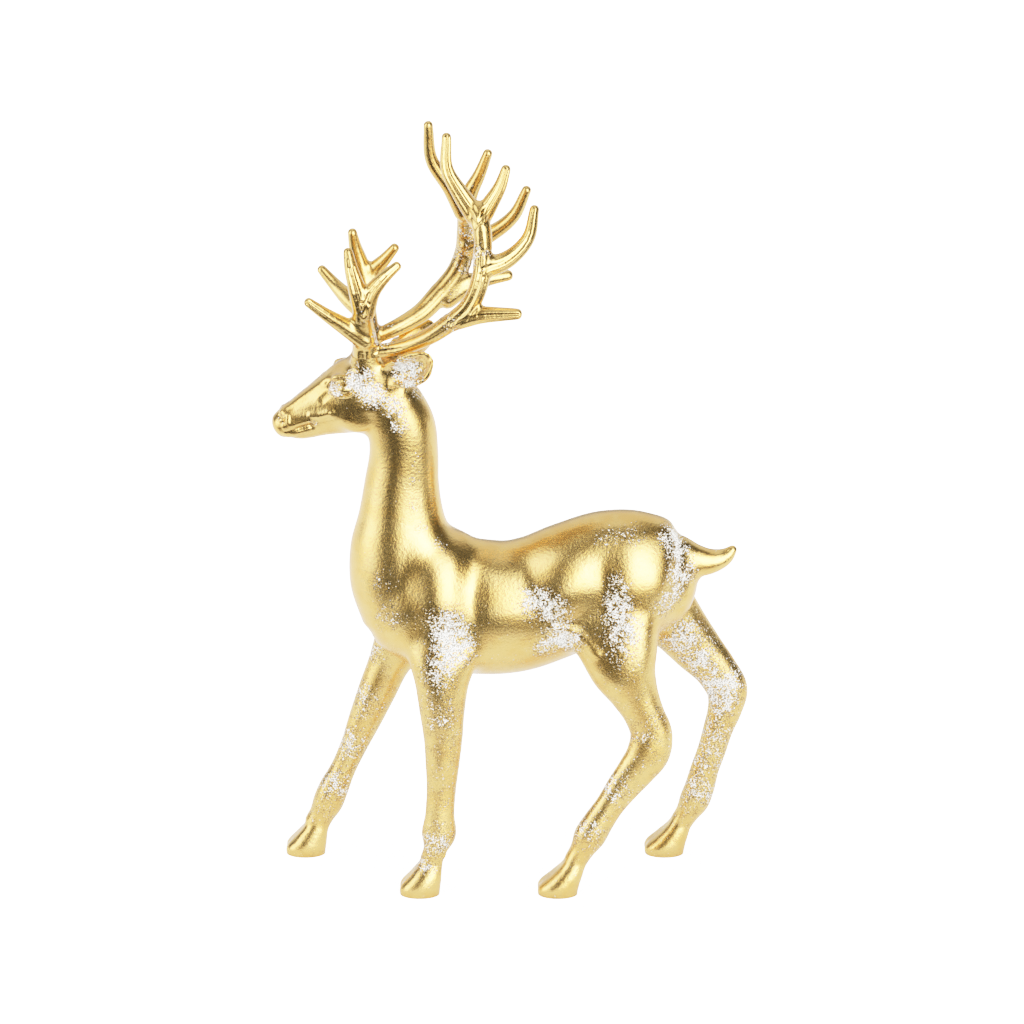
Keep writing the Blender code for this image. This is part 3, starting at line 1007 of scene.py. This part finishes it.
worn.links.new(math_node(worn, "MULTIPLY", wrinkles, flatter), result.inputs["Height"])
worn.links.new(grain(worn, place, TONE_SCALE, 3.0), result.inputs["Tone"])
print("group", worn.name, "has", len(worn.nodes), "nodes")

# %% [markdown]
# Leaf is metal, so it has no colour of its own beside what it mirrors, while bare resin is a white
# plastic. The material blends the colour, the metallic value and the roughness by the same mask.

# %% Gold over white resin
GOLD_PALE = (0.95, 0.60, 0.17, 1.0)
GOLD_DEEP = (0.92, 0.54, 0.13, 1.0)
RESIN_WHITE = (0.95, 0.94, 0.90, 1.0)
GAP_BROWN = (0.12, 0.09, 0.035, 1.0)
LEAF_ROUGHNESS = 0.26
BARE_ROUGHER = 0.22
BODY_WRINKLE = 0.00017
ANTLER_WRINKLE = 0.00012


def mix_colour(tree, factor, one, two):
    node = tree.nodes.new("ShaderNodeMix")
    node.data_type = "RGBA"
    tree.links.new(factor, node.inputs["Factor"])
    for socket, value in ((node.inputs[6], one), (node.inputs[7], two)):
        if isinstance(value, tuple):
            socket.default_value = value
        else:
            tree.links.new(value, socket)
    return node.outputs[2]


def gilded_resin(name, wrinkle_height):
    material = bpy.data.materials.new(name)
    material.use_nodes = True
    tree = material.node_tree
    shader = tree.nodes["Principled BSDF"]
    where = tree.nodes.new("ShaderNodeTexCoord")
    rub = tree.nodes.new("ShaderNodeAttribute")
    rub.attribute_name = "rub"
    leaf = tree.nodes.new("ShaderNodeGroup")
    leaf.node_tree = worn
    tree.links.new(where.outputs["Object"], leaf.inputs["Place"])
    tree.links.new(rub.outputs["Fac"], leaf.inputs["Rub"])
    bare, dark, height, tone = leaf.outputs
    gold = mix_colour(tree, edge(tree, tone, 0.4, 0.62), GOLD_PALE, GOLD_DEEP)
    colour = mix_colour(tree, bare, gold, RESIN_WHITE)
    colour = mix_colour(tree, dark, colour, GAP_BROWN)
    tree.links.new(colour, shader.inputs["Base Color"])
    metal = math_node(tree, "SUBTRACT", 1.0, bare)
    tree.links.new(metal, shader.inputs["Metallic"])
    rough = math_node(tree, "MULTIPLY_ADD", bare, BARE_ROUGHER, LEAF_ROUGHNESS)
    tree.links.new(rough, shader.inputs["Roughness"])
    shader.inputs["Coat Weight"].default_value = 1.0
    shader.inputs["Coat Roughness"].default_value = 0.25
    shader.inputs["Coat IOR"].default_value = 1.5
    bump = tree.nodes.new("ShaderNodeBump")
    bump.inputs["Distance"].default_value = wrinkle_height
    tree.links.new(height, bump.inputs["Height"])
    tree.links.new(bump.outputs["Normal"], shader.inputs["Normal"])
    return material


for thing, name, wrinkle in (
    (body, "gilded_resin_body", BODY_WRINKLE),
    (left_antler, "gilded_resin_left_antler", ANTLER_WRINKLE),
    (right_antler, "gilded_resin_right_antler", ANTLER_WRINKLE),
):
    thing.data.materials.append(gilded_resin(name, wrinkle))
    print(thing.name, "wears", name)

# %% [markdown]
# Each skin rides on the packed model's root and takes the place of the solid of the same name.
# So there is one skin to each casting, and nothing here can drift away from the packed part.

# %% Riding on the packed model
for thing, node, slot in (
    (body, "deer_body", "gilded_resin_body"),
    (left_antler, "left_antler", "gilded_resin_antler"),
    (right_antler, "right_antler", "gilded_resin_antler"),
):
    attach(thing, "root")
    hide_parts(node)
    print(thing.name, "stands for", node)

# %% [markdown]
# The stag stood on white paper that ran up behind it. To the camera the floor is plain white, and
# the gold sees it as a pale glow close to the hooves only, which leaves a dark line along the
# belly. A whole floor of light would have washed out every fold on the underside.

# %% The floor
TABLE_REACH = 0.20
TABLE_SOFT = 0.03
PAPER_GREY = 0.57
CAMERA_GLOW = 3.0
PAPER_GLOW = 0.1

bm = bmesh.new()
bmesh.ops.create_grid(bm, x_segments=2, y_segments=2, size=12.0)
mesh = bpy.data.meshes.new("floor")
bm.to_mesh(mesh)
bm.free()
floor = bpy.data.objects.new("floor", mesh)
bpy.context.collection.objects.link(floor)

paper = bpy.data.materials.new("white_paper")
paper.use_nodes = True
tree = paper.node_tree
shader = tree.nodes["Principled BSDF"]
shader.inputs["Base Color"].default_value = (PAPER_GREY, PAPER_GREY, PAPER_GREY, 1.0)
shader.inputs["Roughness"].default_value = 0.9
shader.inputs["Specular IOR Level"].default_value = 0.0
shader.inputs["Emission Color"].default_value = (1.0, 1.0, 1.0, 1.0)
path = tree.nodes.new("ShaderNodeLightPath")
glow = math_node(tree, "MULTIPLY_ADD", path.outputs["Is Camera Ray"], CAMERA_GLOW, PAPER_GLOW)
tree.links.new(glow, shader.inputs["Emission Strength"])
place = tree.nodes.new("ShaderNodeTexCoord")
apart = tree.nodes.new("ShaderNodeSeparateXYZ")
tree.links.new(place.outputs["Object"], apart.inputs[0])
front = (-TABLE_REACH - TABLE_SOFT, -TABLE_REACH + TABLE_SOFT)
beyond = edge(tree, apart.outputs["Y"], *front, 1.0, 0.0)
see_through = math_node(tree, "MULTIPLY", path.outputs["Is Glossy Ray"], beyond)
clear = tree.nodes.new("ShaderNodeBsdfTransparent")
mix = tree.nodes.new("ShaderNodeMixShader")
tree.links.new(see_through, mix.inputs[0])
tree.links.new(shader.outputs[0], mix.inputs[1])
tree.links.new(clear.outputs[0], mix.inputs[2])
tree.links.new(mix.outputs[0], tree.nodes["Material Output"].inputs["Surface"])
floor.data.materials.append(paper)
print("the gold sees the paper as far as", TABLE_REACH, "m in front")

# %% [markdown]
# Gold looks like gold only where it mirrors something dark next to something bright. Two soft
# panels stand in front of the stag with a dark gap between them, and the wall behind it is
# bright, as in a product studio. The panels are bands of light in the world, given by how far
# they lie to the side and how high, with edges soft enough to leave no hard line on the flanks.

# %% The studio
WALL_DARK = 0.03
WALL_BRIGHT = 0.95
SOFT_FILL = 2.4
WHITE_FOR_CAMERA = 6.0

world = bpy.data.worlds.new("studio")
bpy.context.scene.world = world
world.use_nodes = True
tree = world.node_tree
background = tree.nodes["Background"]
place = tree.nodes.new("ShaderNodeTexCoord")
apart = tree.nodes.new("ShaderNodeSeparateXYZ")
tree.links.new(place.outputs["Generated"], apart.inputs[0])
x, y, z = apart.outputs
turn = math_node(tree, "ARCTAN2", x, math_node(tree, "MULTIPLY", y, -1.0))
turn = math_node(tree, "MULTIPLY", turn, 180.0 / math.pi)
rise = math_node(tree, "MULTIPLY", math_node(tree, "ARCSINE", z), 180.0 / math.pi)


def panel(left, right, low, high, strength, soft=8.0, soft_rise=6.0):
    """A soft-edged band of light between two turns and two rises, in degrees."""
    parts = (
        edge(tree, turn, left - soft, left + soft),
        edge(tree, turn, right - soft, right + soft, 1.0, 0.0),
        edge(tree, rise, low - soft_rise, low + soft_rise),
        edge(tree, rise, high - soft_rise, high + soft_rise, 1.0, 0.0),
    )
    total = parts[0]
    for part in parts[1:]:
        total = math_node(tree, "MULTIPLY", total, part)
    return math_node(tree, "MULTIPLY", total, strength)


def add_light(one, two):
    return math_node(tree, "ADD", one, two)


light = panel(-2.0, 50.0, -17.0, 54.0, 3.4, 7.0)
light = add_light(light, panel(10.0, 40.0, -8.0, 34.0, 4.0, 14.0, 14.0))
light = add_light(light, panel(-80.0, -42.0, -17.0, 54.0, 2.5, 8.0))
light = add_light(light, panel(-78.0, -52.0, -8.0, 32.0, 1.2, 14.0, 14.0))
aside = math_node(tree, "ABSOLUTE", turn)
back = edge(tree, aside, 98.0, 136.0, 0.0, WALL_BRIGHT)
low_down = edge(tree, rise, 0.0, 40.0, 0.75, 0.0)
dim = math_node(tree, "MULTIPLY", edge(tree, aside, 145.0, 172.0), low_down)
back = math_node(tree, "MULTIPLY", back, math_node(tree, "SUBTRACT", 1.0, dim))
above = edge(tree, rise, 66.0, 80.0)
light = add_light(light, math_node(tree, "MAXIMUM", back, above))
light = add_light(light, WALL_DARK)
path = tree.nodes.new("ShaderNodeLightPath")
fill = math_node(tree, "MULTIPLY", path.outputs["Is Diffuse Ray"], SOFT_FILL)
light = math_node(tree, "MAXIMUM", light, fill)
choose = tree.nodes.new("ShaderNodeMix")
choose.data_type = "FLOAT"
tree.links.new(path.outputs["Is Camera Ray"], choose.inputs[0])
tree.links.new(light, choose.inputs[2])
choose.inputs[3].default_value = WHITE_FOR_CAMERA
tree.links.new(choose.outputs[0], background.inputs["Strength"])
background.inputs["Color"].default_value = (1.0, 1.0, 1.0, 1.0)
print("the studio has", len(tree.nodes), "nodes")

# %% [markdown]
# The photograph holds its highlights back, so that the gold stays yellow up to nearly white. A
# curve on the film does the same here: it lifts the middle and bends over towards white.

# %% The film
FILM = (
    (0.0, 0.0),
    (0.0625, 0.277),
    (0.125, 0.478),
    (0.25, 0.727),
    (0.5, 0.926),
    (0.75, 0.98),
    (1.0, 1.0),
)
FILM_WHITE = 4.0

view = bpy.context.scene.view_settings
view.view_transform = "Standard"
view.use_curve_mapping = True
view.curve_mapping.white_level = (FILM_WHITE, FILM_WHITE, FILM_WHITE)
curve = view.curve_mapping.curves[3]
curve.points[0].location = FILM[0]
curve.points[1].location = FILM[-1]
for place in FILM[1:-1]:
    curve.points.new(*place)
view.curve_mapping.update()
print("the film has", len(curve.points), "points")

# %% [markdown]
